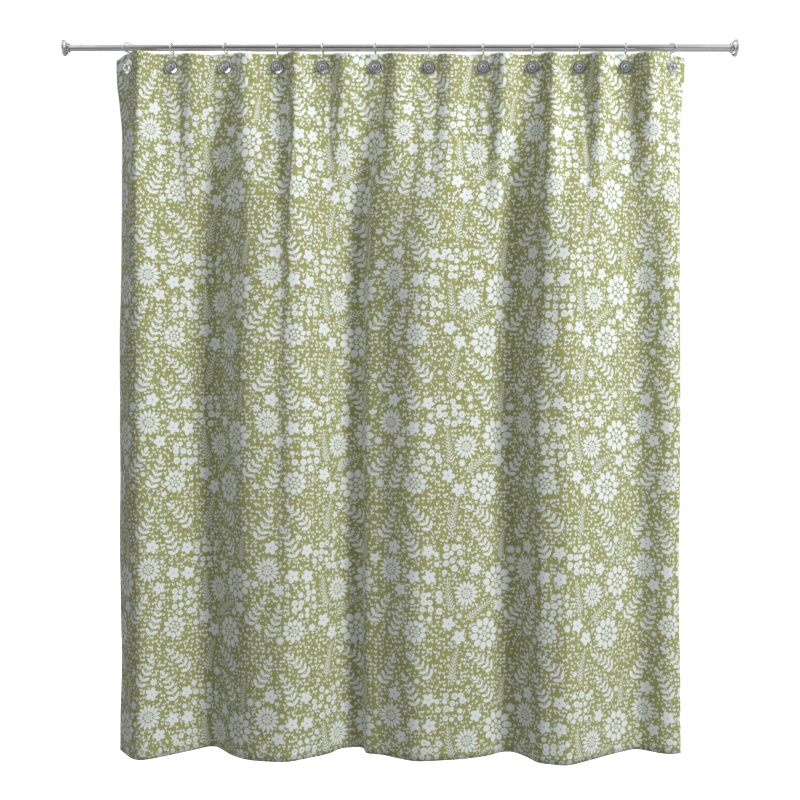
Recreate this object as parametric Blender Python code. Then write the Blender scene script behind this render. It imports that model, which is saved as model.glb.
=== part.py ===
"""Shower curtain hung on a chrome tension rod by twelve button hooks.

Metres, +Z up, +X along the rod, -Y towards the room. The origin is the middle of the left wall pad's outer face, so the rod's axis is the X axis.
Every object is one closed body: the rod's pieces, twelve bent-wire hooks, their domed buttons, the two halves of each eyelet and the draped cloth.
"""

import math

import bmesh
import bpy
import numpy as np
from mathutils import Vector

# Rod
WALL_TO_WALL = 1.810
ROD_DIAMETER = 0.018
TUBE_WALL = 0.0010
FLANGE_DIAMETER = 0.044
FLANGE_DEPTH = 0.0100
COLLAR_DIAMETER = ROD_DIAMETER + 0.007
COLLAR_LENGTH = 0.0060
PAD_THICKNESS = 0.0016
SPINDLE_DIAMETER = 0.010
SPINDLE_LENGTH = 0.080

# Hooks, buttons and eyelets
WIRE_DIAMETER = 0.0036
BUTTON_DIAMETER = 0.027
BUTTON_DEPTH = 0.0062
EYELET_DIAMETER = 0.040
EYELET_BORE = 0.014
EYELET_RISE = 0.0020
EYELET_DROP = 0.036  # top edge of the cloth to the middle of an eyelet

# Cloth
CLOTH_WIDTH = 1.803  # laid flat
CLOTH_DROP = 1.880
CLOTH_THICKNESS = 0.0010
SIDE_MARGIN = 0.038  # side edge to the first eyelet, laid flat
FOLD_DEPTH = 1.0  # scales the folds below the eyelets

# Where each hook hangs, from the rod's middle, and how far it is turned about the vertical
HOOK_X = (-0.729, -0.614, -0.470, -0.331, -0.208, -0.067, 0.077, 0.224, 0.357, 0.483, 0.607, 0.729)
HOOK_TURN = (-45, -4, -8, 0, -3, -5, 0, -8, -10, -10, -4, 40)

GAP = 0.0003  # between pieces that touch
WINDOW = 0.0015 + EYELET_DIAMETER / 2  # half the flat patch of cloth under an eyelet

MIDDLE = WALL_TO_WALL / 2
ROD_R = ROD_DIAMETER / 2
WIRE_R = WIRE_DIAMETER / 2
CLOTH_H = CLOTH_THICKNESS / 2
ARC_STEP = math.radians(22.5)

# The wire, in the hook's own plane: p runs away from the room, z up, from the rod's axis
RESTING = ROD_R + WIRE_R + GAP  # the wire's middle from the rod's axis where it rests
MOST_TURN = math.radians(max(abs(turn) for turn in HOOK_TURN))
ARCH_IN = RESTING / math.cos(MOST_TURN) + 0.0006  # clear of the rod even on the hook that is turned most
ARCH_R = ARCH_IN / math.cos(ARC_STEP / 2)
ARCH_Z = RESTING - ARCH_IN


def lift(turn):
    """How much higher a turned hook rests, because its arch meets a wider section of the rod."""
    wide = RESTING / math.cos(math.radians(turn))
    spare = wide**2 - RESTING**2
    if spare <= -ARCH_Z * RESTING:
        return 0.0
    return -ARCH_Z - math.sqrt((ARCH_IN**2 - wide**2) * spare) / wide


CROSS_Z = -(ROD_R + WIRE_R + 0.0005 + max(lift(turn) for turn in HOOK_TURN))  # under the rod on every hook
CLOTH_TOP = CROSS_Z - WIRE_R - 0.0017
EYELET_Z = CLOTH_TOP - EYELET_DROP
LIP_BACK = CLOTH_H + 0.0026
LOW_BEND = 0.0036
WIRE_BACK = LIP_BACK + GAP + LOW_BEND
WIRE_LOW = EYELET_Z + EYELET_BORE / 2 * math.cos(math.pi / 16) - WIRE_R - 0.0002
BUTTON_Z = EYELET_Z - 0.0004
BUTTON_P = -(CLOTH_H + GAP + EYELET_RISE + 0.0044)


# ---- Objects, materials and the shapes that several pieces share

for old in list(bpy.data.objects):
    bpy.data.objects.remove(old)


def material(name, colour, roughness, metallic=0.0):
    made = bpy.data.materials.new(name)
    made.use_nodes = True
    shader = made.node_tree.nodes["Principled BSDF"]
    shader.inputs["Base Color"].default_value = (*colour, 1)
    shader.inputs["Roughness"].default_value = roughness
    shader.inputs["Metallic"].default_value = metallic
    made.diffuse_color = (*colour, 1)
    return made


printed_cloth = material("printed_cloth", (0.42, 0.45, 0.24), 0.85)
rod_chrome = material("rod_chrome", (0.78, 0.79, 0.80), 0.12, 1.0)
hook_chrome = material("hook_chrome", (0.74, 0.75, 0.76), 0.15, 1.0)
eyelet_steel = material("eyelet_steel", (0.80, 0.80, 0.81), 0.25, 1.0)
spindle_steel = material("spindle_steel", (0.62, 0.62, 0.62), 0.40, 1.0)
pad_rubber = material("pad_rubber", (0.72, 0.72, 0.70), 0.80)
bush_plastic = material("bush_plastic", (0.85, 0.85, 0.83), 0.50)


def empty(name, location, turn=0.0, parent=None):
    """A moving group's own frame: its pieces are parented to it."""
    frame = bpy.data.objects.new(name, None)
    bpy.context.scene.collection.objects.link(frame)
    frame.location = location
    frame.rotation_euler.z = turn
    frame.parent = parent
    return frame


def piece(name, data, parent, location=(0, 0, 0)):
    obj = bpy.data.objects.new(name, data)
    bpy.context.scene.collection.objects.link(obj)
    obj.parent = parent
    obj.location = location
    return obj


def turned(name, profile, segments, look, axis=(1, 0, 0)):
    """A mesh spun from (along, radius) points round an axis, X or Y. A profile with no point on the axis is a closed ring."""
    bm = bmesh.new()
    points = [bm.verts.new(along * Vector(axis) + Vector((0, 0, r))) for along, r in profile]
    edges = [bm.edges.new(pair) for pair in zip(points, points[1:])]
    if all(r > 0 for _, r in profile):
        edges.append(bm.edges.new((points[-1], points[0])))
    bmesh.ops.spin(bm, geom=points + edges, cent=(0, 0, 0), axis=axis, angle=2 * math.pi, steps=segments)
    bmesh.ops.remove_doubles(bm, verts=bm.verts, dist=1e-6)
    bmesh.ops.recalc_face_normals(bm, faces=bm.faces)
    return finished(name, bm, look)


def finished(name, bm, look):
    mesh = bpy.data.meshes.new(name)
    bm.to_mesh(mesh)
    bm.free()
    mesh.shade_smooth()
    mesh.set_sharp_from_angle(angle=math.radians(38))
    mesh.materials.append(look)
    return mesh


# ---- Rod: a tube between two rubber-padded flanges, held by a tension nut that pushes the right end's spindle out

rod_axis = empty("rod_axis", (0, 0, 0))
right_end_axis = empty("right_end_axis", (WALL_TO_WALL, 0, 0), math.pi, rod_axis)
nut_axis = empty("nut_axis", (WALL_TO_WALL, 0, 0), math.pi, rod_axis)

FLANGE_R, COLLAR_R, SPINDLE_R = FLANGE_DIAMETER / 2, COLLAR_DIAMETER / 2, SPINDLE_DIAMETER / 2
PAD_R = FLANGE_R - 0.0026
FLANGE_FLOOR = PAD_THICKNESS + GAP
SOCKET_END = FLANGE_FLOOR + 0.0012
COLLAR_ON = FLANGE_DEPTH + GAP
COLLAR_OFF = COLLAR_ON + COLLAR_LENGTH
TUBE_STOP = COLLAR_ON + 0.0026  # from the right wall


def flange_profile(bore):
    """A flat back with a recess for the pad, and a rounded front round the bore."""
    profile = [(FLANGE_FLOOR, 0), (FLANGE_FLOOR, PAD_R + GAP), (0.0005, PAD_R + GAP)]
    profile += [(0.0005, FLANGE_R - 0.0009), (0.0014, FLANGE_R), (0.0036, FLANGE_R)]
    for k in range(1, 5):
        a = math.pi / 2 * k / 4
        profile.append((0.0036 + (FLANGE_DEPTH - 0.0036) * math.sin(a), COLLAR_R - 0.0020 + (FLANGE_R - COLLAR_R + 0.0020) * math.cos(a)))
    return profile + [(FLANGE_DEPTH, bore), (SOCKET_END, bore), (SOCKET_END, 0)]


wall_pad = turned("wall_pad", [(0, 0), (0, PAD_R - 0.0008), (0.0006, PAD_R), (PAD_THICKNESS, PAD_R), (PAD_THICKNESS, 0)], 24, pad_rubber)
piece("left_wall_pad", wall_pad, rod_axis)
piece("right_wall_pad", wall_pad, right_end_axis)
piece("left_flange", turned("left_flange", flange_profile(ROD_R + GAP), 24, rod_chrome), rod_axis)
piece("right_flange", turned("right_flange", flange_profile(SPINDLE_R + GAP), 24, rod_chrome), right_end_axis)

collar_outside = [(0, COLLAR_R), (COLLAR_LENGTH - 0.0015, COLLAR_R), (COLLAR_LENGTH, COLLAR_R - 0.0012), (COLLAR_LENGTH, ROD_R + GAP)]
collar = turned("left_collar", [(0, ROD_R + GAP)] + collar_outside, 24, rod_chrome)
piece("left_collar", collar, rod_axis, (COLLAR_ON, 0, 0))
nut_step = TUBE_STOP - GAP - COLLAR_ON
nut = turned("tension_nut", [(0, SPINDLE_R + GAP)] + collar_outside + [(nut_step, ROD_R + GAP), (nut_step, SPINDLE_R + GAP)], 24, rod_chrome)
piece("tension_nut", nut, nut_axis, (COLLAR_ON, 0, 0))

spindle_end = SPINDLE_LENGTH - SOCKET_END - GAP
spindle = turned("tension_spindle", [(0, 0), (0, SPINDLE_R), (spindle_end - 0.001, SPINDLE_R), (spindle_end, SPINDLE_R - 0.001), (spindle_end, 0)], 16, spindle_steel)
piece("tension_spindle", spindle, right_end_axis, (SOCKET_END + GAP, 0, 0))

bush_out, bush_in, bush_long = ROD_R - TUBE_WALL - GAP, SPINDLE_R + GAP, 0.020
bush = turned("spindle_bush", [(0, bush_in), (0, bush_out), (bush_long, bush_out), (bush_long, bush_in)], 24, bush_plastic)
piece("spindle_bush", bush, rod_axis, (WALL_TO_WALL - TUBE_STOP - 0.002 - bush_long, 0, 0))

tube_long = WALL_TO_WALL - TUBE_STOP - SOCKET_END - GAP
tube = turned("rod_tube", [(0, ROD_R - TUBE_WALL), (0, ROD_R), (tube_long, ROD_R), (tube_long, ROD_R - TUBE_WALL)], 24, rod_chrome)
piece("rod_tube", tube, rod_axis, (SOCKET_END + GAP, 0, 0))


# ---- Hangers: a bent wire over the rod, through an eyelet of two crimped halves and onto the back of a domed button


def arc(middle, radius, start, stop):
    """Points of an arc in the hook's plane, without the first."""
    steps = max(2, round(abs(math.radians(stop - start)) / ARC_STEP))
    for k in range(1, steps + 1):
        a = math.radians(start + (stop - start) * k / steps)
        yield middle[0] + radius * math.cos(a), middle[1] + radius * math.sin(a)


def hook_line():
    front = -CROSS_Z + ARCH_Z
    bend = 0.0045
    line = [(ARCH_R + 0.0022, ARCH_Z - 0.0150), (ARCH_R + 0.0006, ARCH_Z - 0.0095), (ARCH_R, ARCH_Z)]
    line += arc((0, ARCH_Z), ARCH_R, 0, 180)
    line += arc((front - ARCH_R, ARCH_Z), front, 180, 270)
    line += [(WIRE_BACK - bend, CROSS_Z)]
    line += arc((WIRE_BACK - bend, CROSS_Z - bend), bend, 90, 0)
    line += [(WIRE_BACK, WIRE_LOW + LOW_BEND)]
    line += arc((WIRE_BACK - LOW_BEND, WIRE_LOW + LOW_BEND), LOW_BEND, 0, -90)
    line += [(-CLOTH_H - 0.0019, WIRE_LOW)]
    line += [(BUTTON_P + 0.0034, (WIRE_LOW + BUTTON_Z) / 2), (BUTTON_P + GAP + 0.9 * WIRE_R, BUTTON_Z), (BUTTON_P + GAP, BUTTON_Z)]
    return line


def wire():
    """The bent wire as a bevelled curve with capped ends, in the plane across the rod."""
    curve = bpy.data.curves.new("hook", "CURVE")
    curve.dimensions = "3D"
    curve.bevel_depth = WIRE_R
    curve.bevel_resolution = 1
    curve.use_fill_caps = True
    points = list(hook_line())
    line = curve.splines.new("POLY")
    line.points.add(len(points) - 1)
    for point, (p, z) in zip(line.points, points):
        point.co = (0, p, z, 1)
    line.use_smooth = True
    curve.materials.append(hook_chrome)
    return curve


hook = wire()

DOME_R = BUTTON_DIAMETER / 2
button_profile = [
    (0, 0), (0, DOME_R - 0.0008), (-0.0016, DOME_R), (-0.0032, DOME_R - 0.0012),
    (-0.78 * BUTTON_DEPTH, 0.68 * DOME_R), (-BUTTON_DEPTH, 0.30 * DOME_R), (0.0010 - BUTTON_DEPTH, 0),
]
button = turned("button", button_profile, 14, hook_chrome, (0, 1, 0))

BORE_R, BARREL_R, RIM_R = EYELET_BORE / 2, EYELET_BORE / 2 + 0.0010, EYELET_DIAMETER / 2
FACE = -(CLOTH_H + GAP)
WASHER_OFF = LIP_BACK - 0.0014 - GAP
front_profile = [
    (FACE, BARREL_R), (FACE, RIM_R), (FACE - 0.0010, RIM_R), (FACE - EYELET_RISE, RIM_R - 0.0018), (FACE - EYELET_RISE, RIM_R - 0.0036),
    (FACE - 0.0008, RIM_R - 0.0054), (FACE - 0.0006, BORE_R), (LIP_BACK, BORE_R), (LIP_BACK, BARREL_R + 0.0014), (LIP_BACK - 0.0008, BARREL_R),
]
eyelet_front = turned("eyelet_front", front_profile, 16, eyelet_steel, (0, 1, 0))
back_profile = [(-FACE, BARREL_R + GAP), (-FACE, RIM_R), (WASHER_OFF, RIM_R - 0.0020), (WASHER_OFF, BARREL_R + GAP)]
eyelet_back = turned("eyelet_back", back_profile, 16, eyelet_steel, (0, 1, 0))

curtain = empty("curtain", (MIDDLE, 0, 0), 0.0, rod_axis)
for number, (x, turn) in enumerate(zip(HOOK_X, HOOK_TURN), 1):
    hanger = empty(f"hanger_{number:02d}", (x, 0, lift(turn)), math.radians(turn), curtain)
    piece(f"hook_{number:02d}", hook, hanger)
    piece(f"button_{number:02d}", button, hanger, (0, BUTTON_P, BUTTON_Z))
    piece(f"eyelet_front_{number:02d}", eyelet_front, hanger, (0, 0, EYELET_Z))
    piece(f"eyelet_back_{number:02d}", eyelet_back, hanger, (0, 0, EYELET_Z))


def smooth(a, b, x):
    t = np.clip((x - a) / (b - a), 0, 1)
    return t * t * (3 - 2 * t)


# ---- The cloth's drape: u runs along its width laid flat, v down from its top edge

HOOK_U = np.linspace(SIDE_MARGIN, CLOTH_WIDTH - SIDE_MARGIN, len(HOOK_X))

# The hem seen from above: (from the rod's middle, away from the room), valleys and ridges in turn with a point on each steep flank
HEM = (
    (-0.760, 0.022), (-0.722, -0.030), (-0.686, -0.052), (-0.600, -0.005), (-0.506, 0.052), (-0.462, -0.006), (-0.400, -0.044), (-0.296, -0.058),
    (-0.200, -0.008), (-0.102, 0.046), (-0.040, -0.018), (0.040, -0.056), (0.170, -0.036), (0.309, 0.010), (0.362, -0.056), (0.430, -0.082),
    (0.530, -0.030), (0.646, 0.032), (0.700, -0.002), (0.735, -0.010), (0.754, 0.002),
)


def along_arc(x, y, u):
    """Points on a curve at distances u along it, the whole stretched to the cloth's width."""
    s = np.concatenate([[0], np.cumsum(np.hypot(np.diff(x), np.diff(y)))])
    s *= CLOTH_WIDTH / s[-1]
    return np.interp(u, s, x), np.interp(u, s, y)


def hem_curve(u):
    """The hem's folds, deepened until they take up the whole width of cloth."""
    px, py = np.array(HEM).T
    x = np.linspace(px[0], px[-1], 1500)
    y = np.interp(x, px, py)
    wide = 45
    kernel = np.hanning(2 * wide + 1)
    y = np.convolve(np.pad(y, wide, mode="reflect", reflect_type="odd"), kernel / kernel.sum(), "valid")
    low, high = 0.2, 4.0
    for _ in range(40):
        deep = (low + high) / 2
        if np.hypot(np.diff(x), np.diff(y * deep)).sum() < CLOTH_WIDTH:
            low = deep
        else:
            high = deep
    return along_arc(x, y * deep * FOLD_DEPTH, u)


def top_curve(u):
    """The row of eyelets: flat under each one, and a bulge towards the room between two, steeper on its left."""
    x, y = np.zeros_like(u), np.zeros_like(u)
    turn = np.radians(HOOK_TURN)
    for k, (x0, u0) in enumerate(zip(HOOK_X, HOOK_U)):
        first, last = k == 0, k == len(HOOK_X) - 1
        here = (u >= u0 - WINDOW if not first else u > -1) & (u <= u0 + WINDOW if not last else u < 9)
        x[here] = x0 + (u[here] - u0) * math.cos(turn[k])
        y[here] = (u[here] - u0) * math.sin(turn[k])
        if last:
            break
        start = np.array([x0 + WINDOW * math.cos(turn[k]), WINDOW * math.sin(turn[k])])
        stop = np.array([HOOK_X[k + 1] - WINDOW * math.cos(turn[k + 1]), -WINDOW * math.sin(turn[k + 1])])
        way = [np.array([math.cos(turn[j]), math.sin(turn[j])]) for j in (k, k + 1)]
        long = HOOK_U[1] - HOOK_U[0] - 2 * WINDOW
        t = np.linspace(0, 1, 200)[:, None]
        reach = np.linalg.norm(stop - start)
        base = (
            (2 * t**3 - 3 * t**2 + 1) * start + (t**3 - 2 * t**2 + t) * way[0] * reach
            + (3 * t**2 - 2 * t**3) * stop + (t**3 - t**2) * way[1] * reach
        )
        bump = np.sin(math.pi * t[:, 0] ** 0.75) ** 2
        low, high = 0.0, 0.12
        for _ in range(40):
            deep = (low + high) / 2
            curve = base - np.outer(bump * deep, (0, 1))
            if np.linalg.norm(np.diff(curve, axis=0), axis=1).sum() < long:
                low = deep
            else:
                high = deep
        s = np.concatenate([[0], np.cumsum(np.linalg.norm(np.diff(curve, axis=0), axis=1))])
        between = (u > u0 + WINDOW) & (u < HOOK_U[k + 1] - WINDOW)
        at = (u[between] - u0 - WINDOW) / long * s[-1]
        x[between], y[between] = np.interp(at, s, curve[:, 0]), np.interp(at, s, curve[:, 1])
    return x, y


def drape(u, v):
    """Points of the cloth's middle surface, from the rod's middle."""
    shape = np.broadcast(u, v).shape
    u, v = np.broadcast_to(u, shape).ravel(), np.broadcast_to(v, shape).ravel()
    xt, yt = top_curve(u)
    xb, yb = hem_curve(u)
    flat = EYELET_DROP + WINDOW
    w = smooth(flat, 0.95, v) ** 0.7
    wy = smooth(flat, 0.80, v) ** 0.62
    deeper = 1 + 0.45 * 4 * wy * (1 - wy)
    x = xt * (1 - w) + xb * w
    y = deeper * (yt * (1 - wy) + yb * wy)
    # the top edge sags between hooks, its corners droop, and the turned end hooks carry theirs a little higher
    off = np.min(np.abs(u[:, None] - HOOK_U[None, :]), axis=1)
    sag = -0.006 * smooth(WINDOW, (HOOK_U[1] - HOOK_U[0]) / 2, off)
    corner = -0.010 * smooth(WINDOW, SIDE_MARGIN, HOOK_U[0] - u) - 0.003 * smooth(WINDOW, SIDE_MARGIN, u - HOOK_U[-1])
    raised = sum(lift(HOOK_TURN[k]) * (1 - smooth(WINDOW, 0.11, np.abs(u - HOOK_U[k]))) for k in (0, -1))
    z = CLOTH_TOP - v + (sag + corner) * (1 - smooth(0.0, 0.45, v)) + raised * (1 - smooth(flat, 0.6, v))
    return np.stack([x, y, z], axis=-1).reshape(shape + (3,))


def cloth_grid():
    """Where the cloth's columns and rows lie on it laid flat: three columns and three rows across each eyelet, and wider ones between and below."""
    cols = [0.0]
    for k, u0 in enumerate(HOOK_U):
        cols += [u0 - WINDOW, u0, u0 + WINDOW]
        if k < len(HOOK_U) - 1:
            cols += list(np.linspace(u0 + WINDOW, HOOK_U[k + 1] - WINDOW, 6)[1:-1])
    rows = [0.0, EYELET_DROP - WINDOW, EYELET_DROP, EYELET_DROP + WINDOW, 0.085, 0.135, 0.21, 0.32, 0.48, 0.70, 1.00, 1.40, CLOTH_DROP]
    return np.array(cols + [CLOTH_WIDTH]), np.array(rows)


def cloth():
    """The hung cloth's middle surface, with a round hole under each eyelet."""
    cols, rows = cloth_grid()
    grid = drape(cols[None, :], rows[:, None])
    bm = bmesh.new()
    net = [[bm.verts.new(point) for point in row] for row in grid]
    holed = {}
    for k, u0 in enumerate(HOOK_U):
        c = int(np.argmin(np.abs(cols - u0)))
        for r in (1, 2):
            holed[(r, c - 1)] = holed[(r, c)] = k
        # a ring of sixteen points round the hole, joined to the eight points of the flat patch round it
        way = Vector((math.cos(math.radians(HOOK_TURN[k])), math.sin(math.radians(HOOK_TURN[k])), 0))
        middle = Vector(grid[2, c])
        ring = []
        for j in range(16):
            b = math.pi * j / 8
            ring.append(bm.verts.new(middle + (BARREL_R + 2 * GAP) * (math.cos(b) * way + math.sin(b) * Vector((0, 0, 1)))))
        edge = [net[r][q] for r, q in ((2, c + 1), (1, c + 1), (1, c), (1, c - 1), (2, c - 1), (3, c - 1), (3, c), (3, c + 1))]
        for j in range(8):
            here, then = edge[j], edge[(j + 1) % 8]
            first, second, third = (ring[(2 * j + q) % 16] for q in range(3))
            for corners in ((here, first, second), (here, second, then), (then, second, third)):
                bm.faces.new(corners)
        bm.verts.remove(net[2][c])
    for r in range(len(rows) - 1):
        for c in range(len(cols) - 1):
            if (r, c) not in holed:
                bm.faces.new((net[r][c], net[r][c + 1], net[r + 1][c + 1], net[r + 1][c]))
    bmesh.ops.recalc_face_normals(bm, faces=bm.faces)
    return finished("curtain_panel", bm, printed_cloth)


panel = piece("curtain_panel", cloth(), curtain)
thickness = panel.modifiers.new("Thickness", "SOLIDIFY")
thickness.thickness = CLOTH_THICKNESS
thickness.offset = 0.0
thickness.use_even_offset = True
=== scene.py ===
"""Printed shower curtain on a chrome tension rod, hung by twelve wire button hooks through metal eyelets.

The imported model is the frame: metres, +X along the rod from the left wall, +Z up, -Y towards the room.
"""

import math

import bpy
import numpy as np
from mathutils import Matrix, Vector, noise


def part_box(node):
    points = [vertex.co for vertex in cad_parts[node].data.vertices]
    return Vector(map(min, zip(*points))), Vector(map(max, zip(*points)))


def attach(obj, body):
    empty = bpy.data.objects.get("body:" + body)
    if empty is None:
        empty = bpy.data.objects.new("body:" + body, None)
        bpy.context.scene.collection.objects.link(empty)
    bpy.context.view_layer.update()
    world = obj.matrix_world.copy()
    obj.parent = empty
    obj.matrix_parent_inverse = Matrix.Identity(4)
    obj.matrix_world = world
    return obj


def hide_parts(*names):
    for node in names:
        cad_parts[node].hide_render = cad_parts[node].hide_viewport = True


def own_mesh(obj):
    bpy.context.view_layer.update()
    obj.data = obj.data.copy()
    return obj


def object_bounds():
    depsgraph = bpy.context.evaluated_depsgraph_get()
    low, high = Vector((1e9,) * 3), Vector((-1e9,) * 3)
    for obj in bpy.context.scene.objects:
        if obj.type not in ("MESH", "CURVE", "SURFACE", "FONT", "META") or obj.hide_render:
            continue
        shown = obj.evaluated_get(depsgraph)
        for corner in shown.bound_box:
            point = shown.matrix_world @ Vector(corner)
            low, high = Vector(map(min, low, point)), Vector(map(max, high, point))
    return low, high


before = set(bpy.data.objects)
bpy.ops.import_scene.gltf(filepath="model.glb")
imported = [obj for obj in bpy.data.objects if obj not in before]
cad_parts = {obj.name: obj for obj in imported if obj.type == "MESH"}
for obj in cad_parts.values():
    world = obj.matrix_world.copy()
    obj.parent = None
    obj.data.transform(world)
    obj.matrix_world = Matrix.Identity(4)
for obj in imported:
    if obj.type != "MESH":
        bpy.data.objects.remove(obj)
cad_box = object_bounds()


# ---- Rod tube
# A thin-walled steel tube, polished and chrome plated, that spans the two walls. It is cut square and slides over a bush at its right
# end. Its plating is bright, with faint wiping marks along it and slightly duller patches where hands and hooks rub.


MERGED = 1e-6  # points closer than this are one


def deselect():
    bpy.ops.object.select_all(action="DESELECT")


def radius_of(node):
    low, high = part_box(node)
    return (high.z - low.z) / 2


def drawn(name, rings, sides=64, hollow=False):
    """A round piece about the X axis: a circle at the first (along, radius) ring, extruded and resized to each next one.
    A hollow piece's last ring meets its first."""
    deselect()
    along, radius = rings[0]
    fill = "NOTHING" if hollow else "NGON"
    bpy.ops.mesh.primitive_circle_add(
        vertices=sides, radius=radius, fill_type=fill, location=(along, 0, 0), rotation=(0, math.pi / 2, 0)
    )
    piece = bpy.context.object
    piece.name = piece.data.name = name
    bpy.ops.object.mode_set(mode="EDIT")
    bpy.ops.mesh.select_all(action="SELECT")
    for after, wide in rings[1:] + (rings[:1] if hollow else []):
        bpy.ops.mesh.extrude_region()
        bpy.ops.transform.translate(value=(after - along, 0, 0))
        bpy.ops.transform.resize(value=(1, wide / radius, wide / radius), center_override=(after, 0, 0))
        along, radius = after, wide
    bpy.ops.mesh.select_all(action="SELECT")
    bpy.ops.mesh.remove_doubles(threshold=MERGED)
    bpy.ops.mesh.normals_make_consistent(inside=False)
    bpy.ops.object.mode_set(mode="OBJECT")
    bpy.ops.object.transform_apply(location=True, rotation=True, scale=True)
    return piece


def finish_with(piece, modifier, **settings):
    """Adds a modifier and applies it."""
    deselect()
    bpy.context.view_layer.objects.active = piece
    piece.select_set(True)
    made = piece.modifiers.new(modifier.title(), modifier)
    for key, value in settings.items():
        setattr(made, key, value)
    bpy.ops.object.modifier_apply(modifier=made.name)


def soften(piece, width, segments=2, smooth=35):
    """Rounds the sharp edges and shades the rest smooth."""
    sharp = math.radians(30)
    finish_with(piece, "BEVEL", width=width, segments=segments, limit_method="ANGLE", angle_limit=sharp)
    deselect()
    piece.select_set(True)
    bpy.context.view_layer.objects.active = piece
    bpy.ops.object.shade_smooth_by_angle(angle=math.radians(smooth))


def put(piece, look, body, *nodes):
    """Gives the piece its material and its body, and says which solids it stands for."""
    piece.data.materials.clear()
    piece.data.materials.append(look)
    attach(piece, body)
    if nodes:
        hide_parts(*nodes)
    return piece


def add_node(tree, kind, *inputs, **settings):
    """A shader node, its settings and its inputs in order: a socket is linked, a value is set, None is left."""
    made = tree.nodes.new("ShaderNode" + kind)
    for key, value in settings.items():
        setattr(made, key, value)
    for socket, value in zip(made.inputs, inputs):
        if isinstance(value, bpy.types.NodeSocket):
            tree.links.new(value, socket)
        elif value is not None:
            socket.default_value = value
    return made


def tree_of(inputs):
    return next(value.id_data for value in inputs if isinstance(value, bpy.types.NodeSocket))


def number(operation, *inputs):
    """Number maths in the tree that its sockets belong to."""
    return add_node(tree_of(inputs), "Math", *inputs, operation=operation).outputs[0]


def vector(operation, *inputs):
    made = add_node(tree_of(inputs), "VectorMath", *inputs, operation=operation)
    return made.outputs["Value" if operation == "LENGTH" else "Vector"]


def times(a, b):
    return number("MULTIPLY", a, b)


def over(a, b):
    return number("DIVIDE", a, b)


def plus(a, b):
    return number("ADD", a, b)


def minus(a, b):
    return number("SUBTRACT", a, b)


def times_plus(a, b, c):
    return number("MULTIPLY_ADD", a, b, c)


def least(a, b):
    return number("MINIMUM", a, b)


def most(a, b):
    return number("MAXIMUM", a, b)


def below(a, b):
    return number("LESS_THAN", a, b)


def positive(a):
    return number("ABSOLUTE", a)


def group_of(name, inputs, outputs):
    """An empty node group with its named sockets: (name, kind, default) in, (name, kind) out."""
    tree = bpy.data.node_groups.new(name, "ShaderNodeTree")
    for label, kind, default in inputs:
        socket = tree.interface.new_socket(label, in_out="INPUT", socket_type="NodeSocket" + kind)
        socket.default_value = default
    for label, kind in outputs:
        tree.interface.new_socket(label, in_out="OUTPUT", socket_type="NodeSocket" + kind)
    return tree, tree.nodes.new("NodeGroupInput").outputs, tree.nodes.new("NodeGroupOutput").inputs


def use_group(tree, group, **inputs):
    """The outputs of a group used in a tree: a socket given for an input is linked, a value is set."""
    made = tree.nodes.new("ShaderNodeGroup")
    made.node_tree = group
    for label, value in inputs.items():
        socket = made.inputs[label]
        if isinstance(value, bpy.types.NodeSocket):
            tree.links.new(value, socket)
        else:
            socket.default_value = value
    return made.outputs


def new_look(name):
    """A new material, its tree and its shader."""
    made = bpy.data.materials.new(name)
    made.use_nodes = True
    return made, made.node_tree, made.node_tree.nodes["Principled BSDF"]


def noise_of(tree, place, scale, detail, rough, output=0, **settings):
    return add_node(tree, "TexNoise", place, None, scale, detail, rough, **settings).outputs[output]


def ranged(value, start, stop, low, high):
    """The value's way from start to stop, put between low and high."""
    return add_node(value.id_data, "MapRange", value, start, stop, low, high).outputs[0]


def mixed(tree, share, first, second):
    """A mix of two colours, each a colour or a socket."""
    made = add_node(tree, "Mix", share, data_type="RGBA")
    for socket, value in ((made.inputs[6], first), (made.inputs[7], second)):
        if isinstance(value, bpy.types.NodeSocket):
            tree.links.new(value, socket)
        else:
            socket.default_value = (*value, 1)
    return made.outputs[2]


def bumped(tree, height, strength, distance):
    made = add_node(tree, "Bump", strength, distance)
    tree.links.new(height, made.inputs["Height"])
    return made.outputs[0]


# Handling wear of plated metal: dull patches, fine wiping marks and a faint change of tone
wear, given, out = group_of(
    "plating_wear",
    [("Colour", "Color", (0.8, 0.8, 0.8, 1))]
    + [(label, "Float", value) for label, value in (("Roughness", 0.1), ("Patches", 0.1), ("Marks", 0.05), ("Scale", 30.0))],
    [("Colour", "Color"), ("Roughness", "Float"), ("Normal", "Vector")],
)
place = add_node(wear, "TexCoord").outputs["Object"]
cloudy = noise_of(wear, place, given["Scale"], 4.0, 0.6)
streaked = vector("MULTIPLY", place, (0.12, 1, 1))
fine = noise_of(wear, streaked, times(given["Scale"], 40.0), 2.0, 0.5)
patch = ranged(cloudy, 0.45, 0.75, 0.0, 1.0)
rough = times_plus(patch, given["Patches"], given["Roughness"])
rough = times_plus(fine, given["Marks"], rough)
tone = ranged(cloudy, 0.3, 0.8, 1.0, 0.86)
toned = add_node(wear, "VectorMath", given["Colour"], operation="SCALE")
wear.links.new(tone, toned.inputs["Scale"])
wear.links.new(toned.outputs[0], out["Colour"])
wear.links.new(rough, out["Roughness"])
wear.links.new(bumped(wear, fine, 0.12, 0.00002), out["Normal"])


def metal(name, colour, roughness, patches, marks, scale=30.0):
    """Plated metal: its colour, its roughness where it is clean, and how much its patches and its marks add to that."""
    made, tree, shader = new_look(name)
    worn = use_group(tree, wear, Colour=(*colour, 1), Roughness=roughness, Patches=patches, Marks=marks, Scale=scale)
    for label, socket in (("Colour", "Base Color"), ("Roughness", "Roughness"), ("Normal", "Normal")):
        tree.links.new(worn[label], shader.inputs[socket])
    shader.inputs["Metallic"].default_value = 1.0
    return made


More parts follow.
